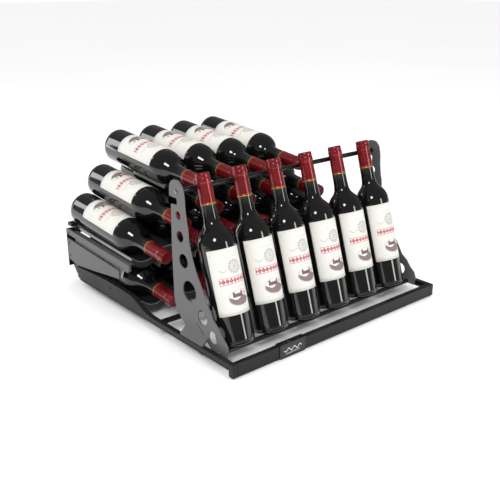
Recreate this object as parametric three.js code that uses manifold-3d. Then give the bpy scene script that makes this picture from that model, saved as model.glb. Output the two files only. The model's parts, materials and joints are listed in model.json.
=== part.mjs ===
// Pull-out presentation shelf of a wine cooler: fascia, rails on fixed runners, a leaning display rack
// of six bottles, and two moulded cradle trays with twenty-one lying bottles. Millimetres, +Z up.
import * as THREE from "three";
import { mergeVertices } from "three/addons/utils/BufferGeometryUtils.js";
import Module from "manifold-3d";

const wasm = await Module();
wasm.setup();

const DEG = Math.PI / 180;

// Overall
const SHELF_WIDTH = 590;
const SHELF_DEPTH = 620; // fascia front to rear posts' screws
const TOUCH = 0.3; // left open between two pieces that touch

// Fascia
const FASCIA_DEPTH = 11.5;
const FASCIA_HEIGHT = 29.2;
const FASCIA_END_LENGTH = 12;
const FASCIA_EDGE = 2.2;

// Label holder
const HOLDER_WIDTH = 67;
const HOLDER_X = -146.5;
const HOLDER_WALL = 1.2;
const HOLDER_LEG = 11;
const CARD_MARGIN = 3;
const CARD_THICKNESS = 0.25;
const CARD_RECESS = 0.6;

// Runners and side rails
const RAIL_WIDTH = 11;
const RUNNER_BOTTOM = 15;
const RUNNER_HEIGHT = 3.5;
const RUNNER_REAR = 573;
const RUNNER_CHAMFER = 2.5;
const PAD_Y = 92;
const PAD_LENGTH = 13;
const PAD_DEPTH = 3.4;
const RAIL_FRONT_TOP = 28;
const RAIL_REAR_TOP = 54;
const RAIL_REAR = 581;
const RAIL_SHEET = 2;
const RAIL_HOLE_Y = 429;
const RAIL_HOLE_Z = 42;
const RAIL_HOLE_D = 5;

// Cross members
const MEMBER_WIDTH = 17;
const MEMBER_THICKNESS = 4.2;
const MEMBER_FRONT_Y = 235;
const MEMBER_MIDDLE_Y = 348;
const MEMBER_REAR_Y = 540;

// Bottles
const BOTTLE_D = 75.5;
const BOTTLE_LENGTH = 333;
const NECK_D = 30.5;
const LIP_D = 28.6;
const SHOULDER_AT = 192;
const NECK_AT = 240;
const PUNT_DEPTH = 14;
const BOTTLE_SIDES = 16;
const BOTTLE_GAP = 0.35;
const UPPER_BOTTLE_D = 78;
const UPPER_BOTTLE_LENGTH = 343;

// Display rack
const DISPLAY_COUNT = 6;
const DISPLAY_PITCH = 89.6;
const DISPLAY_LEAN = 17.5;
const DISPLAY_BASE_Y = 76;
const DISPLAY_BASE_Z = 23.5;
const ROD_D = 10;
const NECK_ROD_AT = 307.5; // along the bottle from its base
const HEEL_ROD_AT = 16; // in front of the bottle's axis, under its base
const BRACKET_OUTER = 18; // in from the shelf's side
const BRACKET_SHEET = 2.5;
const BRACKET_FOOT_Y = 95;
const BRACKET_REAR_Y = 168;
const BRACKET_BEND_Z = 41.7;
const SLIT_WIDTH = 1.4;
const SCREW_D = 9;
const SCREW_HEIGHT = 2;

// Lower tray and its row
const LOWER_TILT = 3.5;
const LOWER_COUNT = 6;
const LOWER_PITCH = 98;
const LOWER_REF_Y = 300;
const LOWER_AXIS_Z = 60;
const LOWER_BASE_Y = 583;
const LOWER_TRAY_FRONT = 325;
const LOWER_TRAY_REAR = 588;
const LOWER_CREST = 15;

// Upper tray and its three rows
const UPPER_TILT = 4.5;
const UPPER_PITCH = 92;
const UPPER_OUTER_STEP = 103;
const UPPER_OUTER_DROP = 8.2;
const UPPER_SHIFT = -8;
const UPPER_REF_Y = 600;
const UPPER_AXIS_Z = 182;
const UPPER_TRAY_FRONT = 350;
const UPPER_TRAY_REAR = 612;
const UPPER_CREST = 14;
const OUTER_BASE_BACK = 9;
const INNER_BASE_BACK = 32;
const TOP_BASE_BACK = 24;

const TRAY_SHEET = 4;
const TRAY_SKIRT = 3;
const TRAY_SKIRT_HEIGHT = 13.5;
const TRAY_SIDE = 14.2; // in from the shelf's side
const TRAY_STEP = 5;
const CREST_SOFTNESS = 1.8;
const TRIM_WIDTH = 4;
const TRIM_HEIGHT = 5;
const TRIM_FRONT = 352;
const TRIM_REAR = 573;
const TRIM_FRONT_Z = 125;
const TRIM_REAR_Z = 137.6;
const TRAY_SIDE_SKIRT = 12;
const TRAY_SIDE_WALL = 2.5;

// Upper frame, arms and rear posts
const BAR_THICKNESS = 5;
const BAR_LEDGE = 8.5;
const BAR_SKIRT = 2;
const ARM_THICKNESS = 4.5;
const BAR_FRONT = 344;
const BAR_HEIGHT = 13;
const BAR_FRONT_Z = 105;
const BAR_REAR_Z = 118.5;
const ARM_FRONT = 388;
const CROSS_BAR_WIDTH = 14;
const CROSS_BAR_HEIGHT = 7.5;
const POST_SHEET = 2.5;
const POST_TOP = 131;
const POST_STOP_TOP = 150;
const POST_STOP_HEIGHT = 8;

const HALF = SHELF_WIDTH / 2;
const RAIL_INNER = HALF - RAIL_WIDTH;
const RAIL_BOTTOM = RUNNER_BOTTOM + RUNNER_HEIGHT + TOUCH;
const RAIL_FRONT = FASCIA_DEPTH + TOUCH;
const ARM_REAR = SHELF_DEPTH;
const TRAY_HALF = HALF - TRAY_SIDE;
const BOTTLE_R = BOTTLE_D / 2;
const NEST = UPPER_BOTTLE_D + BOTTLE_GAP;
const LOWER_TROUGH_R = BOTTLE_R + TOUCH;
const UPPER_TROUGH_R = UPPER_BOTTLE_D / 2 + TOUCH;

const group = new THREE.Group();
group.name = "presentation_shelf";
const frame = new THREE.Group();
group.add(frame);

function paint(color, roughness, metalness) {
  return new THREE.MeshStandardMaterial({ color, roughness, metalness });
}

function put(parent, name, geometry, material) {
  const mesh = new THREE.Mesh(geometry, material);
  mesh.name = name;
  parent.add(mesh);
  return mesh;
}

// Booleans
function toSolid(geometry) {
  const bare = new THREE.BufferGeometry();
  const flat = geometry.index ? geometry.toNonIndexed() : geometry;
  bare.setAttribute("position", flat.getAttribute("position"));
  const merged = mergeVertices(bare, 1e-4);
  const vertProperties = new Float32Array(merged.attributes.position.array);
  const triVerts = new Uint32Array(merged.index.array);
  return new wasm.Manifold(new wasm.Mesh({ numProp: 3, vertProperties, triVerts }));
}

function toGeometry(solid) {
  const made = solid.getMesh();
  const geometry = new THREE.BufferGeometry();
  geometry.setAttribute("position", new THREE.BufferAttribute(new Float32Array(made.vertProperties), 3));
  geometry.setIndex(new THREE.BufferAttribute(new Uint32Array(made.triVerts), 1));
  const flat = geometry.toNonIndexed();
  flat.computeVertexNormals();
  return flat;
}

function joined(added, removed = []) {
  let solid = toSolid(added[0]);
  for (const extra of added.slice(1)) solid = solid.add(toSolid(extra));
  for (const tool of removed) solid = solid.subtract(toSolid(tool));
  return toGeometry(solid);
}

// Shapes
function shapeOf(points, holes = []) {
  const shape = new THREE.Shape(points.map(([a, b]) => new THREE.Vector2(a, b)));
  for (const [a, b, diameter] of holes) {
    const path = new THREE.Path();
    path.absarc(a, b, diameter / 2, 0, Math.PI * 2, true);
    shape.holes.push(path);
  }
  return shape;
}

const SIDE_BASIS = new THREE.Matrix4().makeBasis(
  new THREE.Vector3(0, 1, 0),
  new THREE.Vector3(0, 0, 1),
  new THREE.Vector3(1, 0, 0),
);
const FRONT_BASIS = new THREE.Matrix4().makeBasis(
  new THREE.Vector3(1, 0, 0),
  new THREE.Vector3(0, 0, 1),
  new THREE.Vector3(0, -1, 0),
);

function extruded(shape, depth, curveSegments = 10) {
  return new THREE.ExtrudeGeometry(shape, { depth, bevelEnabled: false, curveSegments });
}

// A (y, z) outline, thick from x = a to x = b.
function sidePlate(points, a, b, holes = []) {
  const geometry = extruded(shapeOf(points, holes), Math.abs(b - a));
  geometry.applyMatrix4(SIDE_BASIS);
  geometry.translate(Math.min(a, b), 0, 0);
  return geometry;
}

// An (x, z) outline, thick from y = a to y = b.
function frontPlate(points, a, b) {
  const geometry = extruded(shapeOf(points), b - a);
  geometry.applyMatrix4(FRONT_BASIS);
  geometry.translate(0, b, 0);
  return geometry;
}

function block(x0, x1, y0, y1, z0, z1) {
  const geometry = new THREE.BoxGeometry(Math.abs(x1 - x0), y1 - y0, z1 - z0);
  geometry.translate((x0 + x1) / 2, (y0 + y1) / 2, (z0 + z1) / 2);
  return geometry;
}

function rodAlongX(x0, x1, y, z, diameter, sides = 20) {
  const geometry = new THREE.CylinderGeometry(diameter / 2, diameter / 2, Math.abs(x1 - x0), sides);
  geometry.rotateZ(Math.PI / 2);
  geometry.translate((x0 + x1) / 2, y, z);
  return geometry;
}

// A smooth line through (y, z) points.
function curved(points, divisions) {
  const curve = new THREE.SplineCurve(points.map(([a, b]) => new THREE.Vector2(a, b)));
  return curve.getPoints(divisions).map((p) => [p.x, p.y]);
}

const SIDES = [
  ["left", -1],
  ["right", 1],
];

// Fascia
const fasciaPaint = paint(0x1c1c1a, 0.3, 0);
const fasciaSection = [
  [0, FASCIA_EDGE],
  [FASCIA_EDGE, 0],
  [FASCIA_DEPTH - FASCIA_EDGE / 2, 0],
  [FASCIA_DEPTH, FASCIA_EDGE / 2],
  [FASCIA_DEPTH, FASCIA_HEIGHT - FASCIA_EDGE / 2],
  [FASCIA_DEPTH - FASCIA_EDGE / 2, FASCIA_HEIGHT],
  [FASCIA_EDGE / 2, FASCIA_HEIGHT],
  [0, FASCIA_HEIGHT - FASCIA_EDGE / 2],
];
const barHalf = HALF - FASCIA_END_LENGTH;
put(frame, "fascia_bar", sidePlate(fasciaSection, -barHalf, barHalf), fasciaPaint);
for (const [side, sign] of SIDES) {
  const inner = sign * (barHalf + TOUCH);
  const outer = sign * HALF;
  const corner = FASCIA_EDGE * 1.4;
  const shoulder = outer - sign * corner;
  const softCorner = outer - sign * corner * 0.3;
  const capOutline = [
    [inner, 0],
    [shoulder, 0],
    [outer, corner],
    [outer, FASCIA_HEIGHT - corner],
    [softCorner, FASCIA_HEIGHT - corner * 0.3],
    [shoulder, FASCIA_HEIGHT],
    [inner, FASCIA_HEIGHT],
  ];
  if (sign < 0) capOutline.reverse();
  const cap = toSolid(frontPlate(capOutline, 0, FASCIA_DEPTH));
  const section = toSolid(sidePlate(fasciaSection, inner, outer));
  put(frame, "fascia_end_" + side, toGeometry(cap.intersect(section)), paint(0x1c1c1a, 0.35, 0));
}

// Label holder, clipped over the fascia
const holder = new THREE.Group();
holder.position.set(HOLDER_X, 0, 0);
frame.add(holder);
const clipFront = -TOUCH - HOLDER_WALL;
const clipTop = FASCIA_HEIGHT + TOUCH + HOLDER_WALL;
const clipBack = FASCIA_DEPTH + TOUCH + HOLDER_WALL;
const clipOutline = [
  [clipFront, CARD_MARGIN / 3],
  [-TOUCH, CARD_MARGIN / 3],
  [-TOUCH, FASCIA_HEIGHT + TOUCH],
  [FASCIA_DEPTH + TOUCH, FASCIA_HEIGHT + TOUCH],
  [FASCIA_DEPTH + TOUCH, clipTop - HOLDER_LEG],
  [clipBack, clipTop - HOLDER_LEG],
  [clipBack, clipTop - HOLDER_WALL],
  [clipBack - HOLDER_WALL, clipTop],
  [clipFront + HOLDER_WALL / 2, clipTop],
  [clipFront, clipTop - HOLDER_WALL / 2],
];
const cardHalf = HOLDER_WIDTH / 2 - CARD_MARGIN;
const cardLow = CARD_MARGIN / 3 + CARD_MARGIN;
const cardHigh = clipTop - CARD_MARGIN * 1.3;
const clip = sidePlate(clipOutline, -HOLDER_WIDTH / 2, HOLDER_WIDTH / 2);
const recess = block(-cardHalf, cardHalf, clipFront - 1, clipFront + CARD_RECESS, cardLow, cardHigh);
put(holder, "label_holder", joined([clip], [recess]), paint(0x111111, 0.15, 0));
const cardBack = clipFront + CARD_RECESS - TOUCH;
const card = block(
  -cardHalf + TOUCH,
  cardHalf - TOUCH,
  cardBack - CARD_THICKNESS,
  cardBack,
  cardLow + TOUCH,
  cardHigh - TOUCH,
);
put(holder, "label_card", card, paint(0x161616, 0.4, 0));

// Runners and side rails
const runnerTop = RUNNER_BOTTOM + RUNNER_HEIGHT;
const runnerOutline = [
  [RAIL_FRONT, RUNNER_BOTTOM],
  [RUNNER_REAR - RUNNER_CHAMFER, RUNNER_BOTTOM],
  [RUNNER_REAR, runnerTop - RUNNER_CHAMFER / 2],
  [RUNNER_REAR, runnerTop],
  [RAIL_FRONT, runnerTop],
];
const step = RAIL_REAR_TOP - RAIL_FRONT_TOP;
const railTop = curved(
  [
    [RAIL_REAR, RAIL_REAR_TOP - step * 0.21],
    [562, RAIL_REAR_TOP - step * 0.25],
    [510, RAIL_REAR_TOP - step * 0.1],
    [451, RAIL_REAR_TOP],
    [395, RAIL_REAR_TOP - step * 0.02],
    [350, RAIL_REAR_TOP - step * 0.09],
    [333, RAIL_REAR_TOP - step * 0.2],
    [304, RAIL_FRONT_TOP + step * 0.33],
    [282, RAIL_FRONT_TOP + step * 0.08],
    [260, RAIL_FRONT_TOP],
  ],
  30,
);
const railOutline = [
  [RAIL_FRONT, RAIL_BOTTOM],
  [RAIL_REAR - 3, RAIL_BOTTOM],
  [RAIL_REAR, RAIL_BOTTOM + 3],
  ...railTop,
  [RAIL_FRONT, RAIL_FRONT_TOP],
];
const pocketOutline = [
  [RAIL_FRONT + RAIL_SHEET, RAIL_BOTTOM + RAIL_SHEET],
  [RAIL_REAR - RAIL_SHEET, RAIL_BOTTOM + RAIL_SHEET],
  ...railTop.map(([y, z]) => [Math.min(y, RAIL_REAR - RAIL_SHEET), z - RAIL_SHEET]),
  [RAIL_FRONT + RAIL_SHEET, RAIL_FRONT_TOP - RAIL_SHEET],
];
for (const [side, sign] of SIDES) {
  const outer = sign * HALF;
  const inner = sign * RAIL_INNER;
  const padInset = sign * 2;
  const strip = sidePlate(runnerOutline, outer, inner);
  const pad = block(
    outer - padInset,
    inner + padInset,
    PAD_Y,
    PAD_Y + PAD_LENGTH,
    RUNNER_BOTTOM - PAD_DEPTH,
    RUNNER_BOTTOM + 1,
  );
  put(frame, "runner_" + side, joined([strip, pad]), paint(0x2b2b2b, 0.5, 0.3));
  const body = sidePlate(railOutline, outer, inner);
  const pocket = sidePlate(pocketOutline, outer - sign * RAIL_SHEET, inner - sign * 1);
  const hole = rodAlongX(outer + sign * 1, inner, RAIL_HOLE_Y, RAIL_HOLE_Z, RAIL_HOLE_D, 12);
  put(frame, "side_rail_" + side, joined([body], [pocket, hole]), paint(0x303030, 0.5, 0.3));
}

// Cross members
const steel = paint(0x2a2a2a, 0.5, 0.4);
const memberReach = HALF - RAIL_SHEET - TOUCH;
// The height just under a tray's lowest trough, at y.
function trayUnder(radius, axisZ, refY, tiltDegrees, y) {
  const fall = (radius + TRAY_SHEET) / Math.cos(tiltDegrees * DEG);
  return axisZ + (y - refY) * Math.tan(tiltDegrees * DEG) - fall - TOUCH;
}
const lowerTrayUnder = (y) => trayUnder(LOWER_TROUGH_R, LOWER_AXIS_Z, LOWER_REF_Y, LOWER_TILT, y);
const frontMemberZ = RAIL_BOTTOM + RAIL_SHEET + TOUCH;
const frontMember = block(
  -memberReach,
  memberReach,
  MEMBER_FRONT_Y,
  MEMBER_FRONT_Y + MEMBER_WIDTH,
  frontMemberZ,
  frontMemberZ + MEMBER_THICKNESS,
);
put(frame, "cross_member_front", frontMember, steel);
const middleTop = lowerTrayUnder(MEMBER_MIDDLE_Y);
const middleMember = block(
  -RAIL_INNER + TOUCH,
  RAIL_INNER - TOUCH,
  MEMBER_MIDDLE_Y,
  MEMBER_MIDDLE_Y + MEMBER_WIDTH,
  middleTop - MEMBER_THICKNESS,
  middleTop,
);
put(frame, "cross_member_middle", middleMember, paint(0x2a2a2a, 0.5, 0.4));
const rearTop = lowerTrayUnder(MEMBER_REAR_Y);
const rearMember = block(
  -memberReach,
  memberReach,
  MEMBER_REAR_Y,
  MEMBER_REAR_Y + MEMBER_WIDTH,
  rearTop - MEMBER_THICKNESS,
  rearTop,
);
put(frame, "cross_member_rear", rearMember, paint(0x2a2a2a, 0.5, 0.4));

// Bottle, standing on z = 0
const lipR = LIP_D / 2;
const neckR = NECK_D / 2;
const shoulderRun = NECK_AT - SHOULDER_AT;
const shoulderFall = BOTTLE_R - neckR;
const bottleProfile = [
  [0, PUNT_DEPTH],
  [BOTTLE_R * 0.5, PUNT_DEPTH * 0.62],
  [BOTTLE_R * 0.8, 0],
  [BOTTLE_R * 0.94, 0],
  [BOTTLE_R, 4.5],
  [BOTTLE_R, SHOULDER_AT],
  [neckR + shoulderFall * 0.93, SHOULDER_AT + shoulderRun * 0.3],
  [neckR + shoulderFall * 0.68, SHOULDER_AT + shoulderRun * 0.56],
  [neckR + shoulderFall * 0.26, SHOULDER_AT + shoulderRun * 0.82],
  [neckR, NECK_AT],
  [lipR, BOTTLE_LENGTH - 22],
  [lipR, BOTTLE_LENGTH - 2],
  [lipR - 2, BOTTLE_LENGTH],
  [0, BOTTLE_LENGTH],
];
function bottleGeometry(diameter, length) {
  const wide = diameter / BOTTLE_D;
  const tall = length / BOTTLE_LENGTH;
  const points = bottleProfile.map(([r, h]) => new THREE.Vector2(r * wide, h * tall));
  const geometry = new THREE.LatheGeometry(points, BOTTLE_SIDES);
  geometry.rotateX(Math.PI / 2);
  return joined([geometry]);
}
const glass = paint(0x0f1410, 0.08, 0);

// Display rack
const lean = DISPLAY_LEAN * DEG;
const along = [Math.sin(lean), Math.cos(lean)];
const across = [Math.cos(lean), -Math.sin(lean)];
function fromBottle(s, t) {
  return [
    DISPLAY_BASE_Y + along[0] * s + across[0] * t,
    DISPLAY_BASE_Z + along[1] * s + across[1] * t,
  ];
}
const rodReach = HALF - BRACKET_OUTER - BRACKET_SHEET - TOUCH;
const neckRod = fromBottle(NECK_ROD_AT, neckR + ROD_D / 2 - TOUCH);
const heelRod = fromBottle(-ROD_D / 2 - TOUCH, -HEEL_ROD_AT);
const rodPaint = paint(0x151515, 0.25, 0.2);
put(frame, "neck_rod", rodAlongX(-rodReach, rodReach, neckRod[0], neckRod[1], ROD_D, 24), rodPaint);
put(frame, "heel_rod", rodAlongX(-rodReach, rodReach, heelRod[0], heelRod[1], ROD_D, 24), rodPaint);

const bracketOutline = [
  [40, 19],
  [85.5, 19.8],
  [110, BRACKET_BEND_Z],
  [BRACKET_REAR_Y, BRACKET_BEND_Z],
  [186, 55],
  [188, 59],
  [200, 61],
  [198, 67],
  [203, 82],
  [204.5, 94],
  [206, 146],
  [207, 190],
  [206, 235],
  [205, 282],
  [203, 284],
  [187, 284.5],
  [185, 286],
  [185, 296],
  [187, 298],
  [208, 298.5],
  [210, 301],
  [209, 316],
  [207, 323],
  [202, 329],
  [195, 332.5],
  [188, 333.5],
  [180, 333],
  [175, 331],
  [167.5, 323.5],
  [163.5, 310],
  [162, 299],
  [161, 282],
  [158, 260],
  [154, 245],
  [151.5, 220],
  [146, 201],
  [141, 187],
  [133, 169],
  [126, 157],
  [110, 131],
  [102, 118],
  [93, 104],
  [80, 84],
  [65, 73.5],
  [53, 59],
  [41.5, 50],
  [36.5, 38],
  [37.5, 26],
];
const bracketHoles = [
  [183, 265, 17],
  [179, 224, 22.5],
  [170, 177, 29],
  [153, 119.5, 43],
  [113, 78, 30],
  [81, 48, 26],
];
const bracketSize = Math.hypot(BOTTLE_LENGTH, BOTTLE_D) / Math.hypot(333, 75.5);
const slit = [
  [132.6, 61.2],
  [131.6, 62.4],
  [106, 39.5 + SLIT_WIDTH],
  [106, 37],
];
for (const [side, sign] of SIDES) {
  const outer = sign * (HALF - BRACKET_OUTER);
  const inner = outer - sign * BRACKET_SHEET;
  const grown = bracketOutline.map(([y, z]) => [y, z > 42 ? 42 + (z - 42) * bracketSize : z]);
  const holes = bracketHoles.map(([y, z, d]) => [y, 42 + (z - 42) * bracketSize, d]);
  const sheet = sidePlate(grown, outer, inner, holes);
  const footOutline = [
    [outer, BRACKET_BEND_Z + BRACKET_SHEET],
    [outer + sign * (BRACKET_OUTER - 4), RAIL_FRONT_TOP + TOUCH + BRACKET_SHEET],
    [outer + sign * (BRACKET_OUTER - 2), RAIL_FRONT_TOP + TOUCH],
    [outer + sign * (BRACKET_OUTER - 8), RAIL_FRONT_TOP + TOUCH],
    [inner, BRACKET_BEND_Z - BRACKET_SHEET / 2],
    [inner, BRACKET_BEND_Z + BRACKET_SHEET],
  ];
  if (sign > 0) footOutline.reverse();
  const foot = frontPlate(footOutline, BRACKET_FOOT_Y, BRACKET_REAR_Y);
  const cut = sidePlate(slit, outer + sign * 1, inner - sign * 1);
  put(frame, "bracket_" + side, joined([sheet, foot], [cut]), paint(0x707070, 0.4, 0.6));
  const seat = outer + sign * TOUCH;
  for (const [name, [y, z]] of [
    ["neck_rod", neckRod],
    ["heel_rod", heelRod],
  ]) {
    const screw = rodAlongX(seat, seat + sign * SCREW_HEIGHT, y, z, SCREW_D, 16);
    put(frame, name + "_screw_" + side, screw, paint(0x8a8a8a, 0.3, 0.8));
  }
}

for (let i = 0; i < DISPLAY_COUNT; i += 1) {
  const bottle = put(frame, "display_bottle_" + (i + 1), bottleGeometry(BOTTLE_D, BOTTLE_LENGTH), glass);
  bottle.position.set((i - (DISPLAY_COUNT - 1) / 2) * DISPLAY_PITCH, DISPLAY_BASE_Y, DISPLAY_BASE_Z);
  bottle.rotation.x = -lean;
}

// A cradle tray: troughs under the bottles at (x, drop), soft crests between them.
function troughTop(x, seats, radius, crest) {
  let lowest = crest(x);
  const reach = radius * 0.97;
  for (const [seatX, seatZ] of seats) {
    const dx = Math.abs(x - seatX);
    if (dx >= reach) continue;
    const arc = seatZ - Math.sqrt(radius * radius - dx * dx);
    const softened = Math.exp(-arc / CREST_SOFTNESS) + Math.exp(-crest(x) / CREST_SOFTNESS);
    lowest = Math.min(lowest, -CREST_SOFTNESS * Math.log(softened));
  }
  return lowest;
}

function trayGeometry(seats, radius, crest, shift, y0, y1) {
  const count = Math.round((2 * TRAY_HALF) / TRAY_STEP);
  const line = [];
  for (let i = 0; i <= count; i += 1) {
    const x = -TRAY_HALF + (2 * TRAY_HALF * i) / count;
    line.push([x, troughTop(x - shift, seats, radius, crest)]);
  }
  const under = (fall) => line.map(([x, z]) => [x, z - fall]).reverse();
  const sheet = frontPlate([...line, ...under(TRAY_SHEET)].reverse(), y0, y1);
  const skirt = frontPlate([...line, ...under(TRAY_SKIRT_HEIGHT)].reverse(), y0, y0 + TRAY_SKIRT);
  const walls = [-1, 1].map((sign) => {
    const edge = sign < 0 ? line[0] : line[line.length - 1];
    return block(edge[0], edge[0] - sign * TRAY_SIDE_WALL, y0, y1, edge[1] - TRAY_SIDE_SKIRT, edge[1]);
  });
  return joined([sheet, skirt, ...walls]);
}

function layBottle(parent, name, shape, x, y, z) {
  const bottle = put(parent, name, shape, glass);
  bottle.position.set(x, y, z);
  bottle.rotation.x = Math.PI / 2;
  return bottle;
}

// Lower tray and row
const trayPaint = paint(0x2c2c2c, 0.6, 0);
const lower = new THREE.Group();
lower.position.set(0, LOWER_REF_Y, LOWER_AXIS_Z);
lower.rotation.x = LOWER_TILT * DEG;
frame.add(lower);
const lowerSeats = [];
for (let i = 0; i < LOWER_COUNT; i += 1) lowerSeats.push([(i - (LOWER_COUNT - 1) / 2) * LOWER_PITCH, 0]);
const lowerCrest = () => LOWER_CREST - LOWER_TROUGH_R;
const lowerCos = Math.cos(LOWER_TILT * DEG);
const lowerTray = trayGeometry(
  lowerSeats,
  LOWER_TROUGH_R,
  lowerCrest,
  0,
  (LOWER_TRAY_FRONT - LOWER_REF_Y) / lowerCos,
  (LOWER_TRAY_REAR - LOWER_REF_Y) / lowerCos,
);
put(lower, "lower_tray", lowerTray, trayPaint);
lowerSeats.forEach(([x], i) => {
  const shape = bottleGeometry(BOTTLE_D, BOTTLE_LENGTH);
  layBottle(lower, "lower_row_bottle_" + (i + 1), shape, x, (LOWER_BASE_Y - LOWER_REF_Y) / lowerCos, 0);
});

// Upper tray and its nested rows
const upper = new THREE.Group();
upper.position.set(0, UPPER_REF_Y, UPPER_AXIS_Z);
upper.rotation.x = UPPER_TILT * DEG;
frame.add(upper);
// Where a bottle rests on two others, a on the left.
function nest([ax, az], [bx, bz]) {
  const half = Math.hypot(bx - ax, bz - az) / 2;
  const rise = Math.sqrt(NEST * NEST - half * half);
  const ux = (bx - ax) / (2 * half);
  const uz = (bz - az) / (2 * half);
  return [(ax + bx) / 2 - uz * rise, (az + bz) / 2 + ux * rise];
}
const outerX = 1.5 * UPPER_PITCH + UPPER_OUTER_STEP;
const first = [
  [-outerX, -UPPER_OUTER_DROP],
  [-1.5 * UPPER_PITCH, 0],
  [-0.5 * UPPER_PITCH, 0],
  [0.5 * UPPER_PITCH, 0],
  [1.5 * UPPER_PITCH, 0],
  [outerX, -UPPER_OUTER_DROP],
];
const second = first.slice(1).map((seat, i) => nest(first[i], seat));
const topRise = nest(second[1], second[2])[1];
const top = [-1.5, -0.5, 0.5, 1.5].map((k) => [k * UPPER_PITCH, topRise]);
const upperCrest = (x) => UPPER_CREST - UPPER_TROUGH_R - (Math.abs(x) > outerX ? UPPER_OUTER_DROP : 0);
const upperCos = Math.cos(UPPER_TILT * DEG);
const upperTray = trayGeometry(
  first,
  UPPER_TROUGH_R,
  upperCrest,
  UPPER_SHIFT,
  (UPPER_TRAY_FRONT - UPPER_REF_Y) / upperCos,
  (UPPER_TRAY_REAR - UPPER_REF_Y) / upperCos,
);
put(upper, "upper_tray", upperTray, paint(0x303030, 0.6, 0));
function layRow(name, row, isOuter, innerBack) {
  row.forEach(([x, z], i) => {
    const back = isOuter(i) ? OUTER_BASE_BACK : innerBack;
    const shape = bottleGeometry(UPPER_BOTTLE_D, UPPER_BOTTLE_LENGTH);
    layBottle(upper, name + "_bottle_" + (i + 1), shape, x + UPPER_SHIFT, back, z);
  });
}
layRow("upper_row", first, (i) => i === 0 || i === first.length - 1, INNER_BASE_BACK);
layRow("second_row", second, (i) => i === 0 || i === second.length - 1, INNER_BASE_BACK);
layRow("top_row", top, () => false, TOP_BASE_BACK);

// Light trims along the upper tray's sides
for (const [side, sign] of SIDES) {
  const near = sign * (TRAY_HALF + TOUCH);
  const round = TRIM_HEIGHT / 2;
  const outline = [
    [TRIM_FRONT, TRIM_FRONT_Z],
    [TRIM_REAR - round, TRIM_REAR_Z],
    [TRIM_REAR - round * 0.3, TRIM_REAR_Z + round * 0.3],
    [TRIM_REAR, TRIM_REAR_Z + round],
    [TRIM_REAR - round * 0.3, TRIM_REAR_Z + round * 1.7],
    [TRIM_REAR - round, TRIM_REAR_Z + TRIM_HEIGHT],
    [TRIM_FRONT, TRIM_FRONT_Z + TRIM_HEIGHT],
  ];
  const trim = sidePlate(outline, near, near + sign * TRIM_WIDTH);
  put(frame, "tray_trim_" + side, trim, paint(0xb8b8b8, 0.4, 0.2));
}

// Upper frame bars, arms, posts
const barPaint = paint(0x666666, 0.4, 0.5);
const frameBarOutline = [
  [BAR_FRONT, BAR_FRONT_Z],
  [ARM_REAR, BAR_REAR_Z],
  [ARM_REAR, BAR_REAR_Z + BAR_HEIGHT],
  [BAR_FRONT, BAR_FRONT_Z + BAR_HEIGHT + 1],
];
const armOutline = [
  [ARM_FRONT, 75.5],
  [517, 57.4],
  [583, 49.8],
  [616.5, 55.8],
  [ARM_REAR, 58],
  [ARM_REAR, 107.6],
  [ARM_FRONT, 94.3],
];
const ledgeOutline = [
  [BAR_FRONT + 6, BAR_FRONT_Z + BAR_HEIGHT - 1],
  [590, BAR_REAR_Z + BAR_HEIGHT - 3.3],
  [590, BAR_REAR_Z + BAR_HEIGHT - 1.3],
  [BAR_FRONT + 6, BAR_FRONT_Z + BAR_HEIGHT + 1],
];
const barSkirtOutline = [
  [BAR_FRONT + 14, BAR_FRONT_Z - 8],
  [590, BAR_REAR_Z - 15],
  [590, BAR_REAR_Z + 2],
  [BAR_FRONT + 14, BAR_FRONT_Z + 4],
];
const postWeb = [
  [560, RAIL_BOTTOM],
  [606, RAIL_BOTTOM],
  [ARM_REAR + TOUCH + POST_SHEET, 38],
  [ARM_REAR + TOUCH + POST_SHEET, POST_TOP],
  [613, POST_TOP],
  [611, POST_STOP_TOP],
  [594, POST_STOP_TOP],
  [592, 60],
  [586, 46],
  [560, 46],
];
for (const [side, sign] of SIDES) {
  const outer = sign * (HALF - TOUCH);
  const barInner = outer - sign * BAR_THICKNESS;
  const bar = joined([
    sidePlate(frameBarOutline, outer, barInner),
    sidePlate(ledgeOutline, barInner + sign * 1, barInner - sign * BAR_LEDGE),
    sidePlate(barSkirtOutline, barInner + sign * 0.2, barInner - sign * BAR_SKIRT),
  ]);
  put(frame, "upper_frame_bar_" + side, bar, barPaint);
  const arm = sidePlate(armOutline, outer, outer - sign * ARM_THICKNESS);
  put(frame, "arm_plate_" + side, arm, barPaint);
  const webOuter = sign * (RAIL_INNER - TOUCH);
  const webInner = webOuter - sign * POST_SHEET;
  const web = sidePlate(postWeb, webOuter, webInner);
  const flange = block(
    outer,
    webInner,
    ARM_REAR + TOUCH,
    ARM_REAR + TOUCH + POST_SHEET,
    38,
    POST_TOP,
  );
  const stop = block(outer, webInner, 594, 611, POST_STOP_TOP - POST_STOP_HEIGHT, POST_STOP_TOP);
  put(frame, "rear_post_" + side, joined([web, flange, stop]), paint(0x1d1d1d, 0.5, 0.2));
}
const crossReach = HALF - TOUCH - BAR_THICKNESS - BAR_SKIRT - TOUCH;
const outerAxisZ = UPPER_AXIS_Z - UPPER_OUTER_DROP * upperCos;
const upperTrayUnder = (y) => trayUnder(UPPER_TROUGH_R, outerAxisZ, UPPER_REF_Y, UPPER_TILT, y);
const crossFrontY = UPPER_TRAY_FRONT + TRAY_SKIRT_HEIGHT;
const crossFrontTop = upperTrayUnder(crossFrontY);
const crossFront = block(
  -crossReach,
  crossReach,
  crossFrontY,
  crossFrontY + CROSS_BAR_WIDTH,
  crossFrontTop - CROSS_BAR_HEIGHT,
  crossFrontTop,
);
put(frame, "frame_cross_bar_front", crossFront, paint(0x2a2a2a, 0.5, 0.4));
const crossRearReach = RAIL_INNER - TOUCH - POST_SHEET - TOUCH;
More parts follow.
